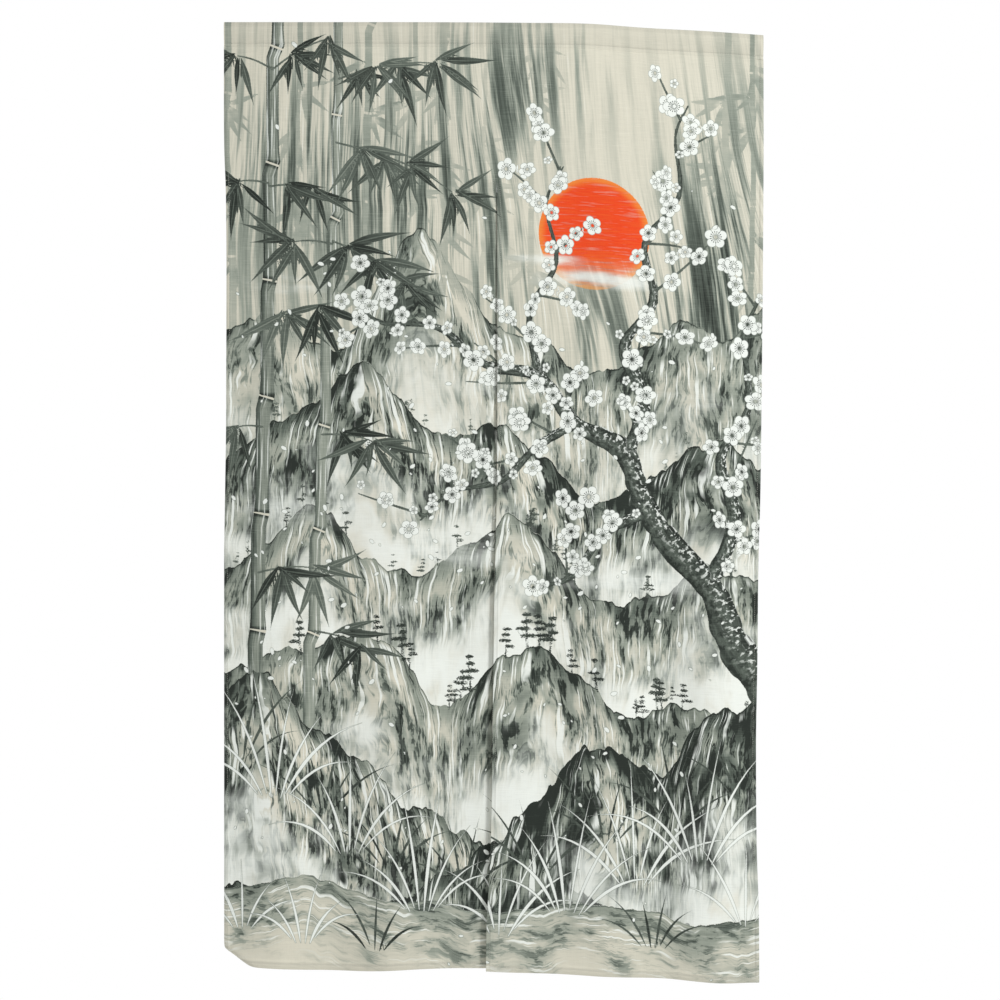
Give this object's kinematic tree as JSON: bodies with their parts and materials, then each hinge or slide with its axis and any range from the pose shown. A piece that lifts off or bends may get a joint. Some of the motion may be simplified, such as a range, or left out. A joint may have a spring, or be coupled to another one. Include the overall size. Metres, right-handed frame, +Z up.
{
  "type": "noren curtain",
  "caption": "Split doorway curtain of thin printed cloth: two hanging panels joined at the top, an open slit between them below, and a flat rod pocket along the top edge.",
  "frame": {"origin": "highest point of the rod pocket, over the middle of the curtain, where the rod line of the top edge lies", "axes": "+Z up along the cloth's drop, +X across the curtain to the right as seen from the printed side, +Y from the printed side through the cloth to the back"},
  "size_m": [0.8508, 0.0356, 1.5156],
  "materials": {
    "cloth": "matte, linen-look slub weave, printed on its front in grey-green ink tones with white and vermilion"
  },
  "bodies": {
    "root": {"rod_pocket": "cloth", "panel_left": "cloth", "panel_right": "cloth"}
  },
  "joints": []
}
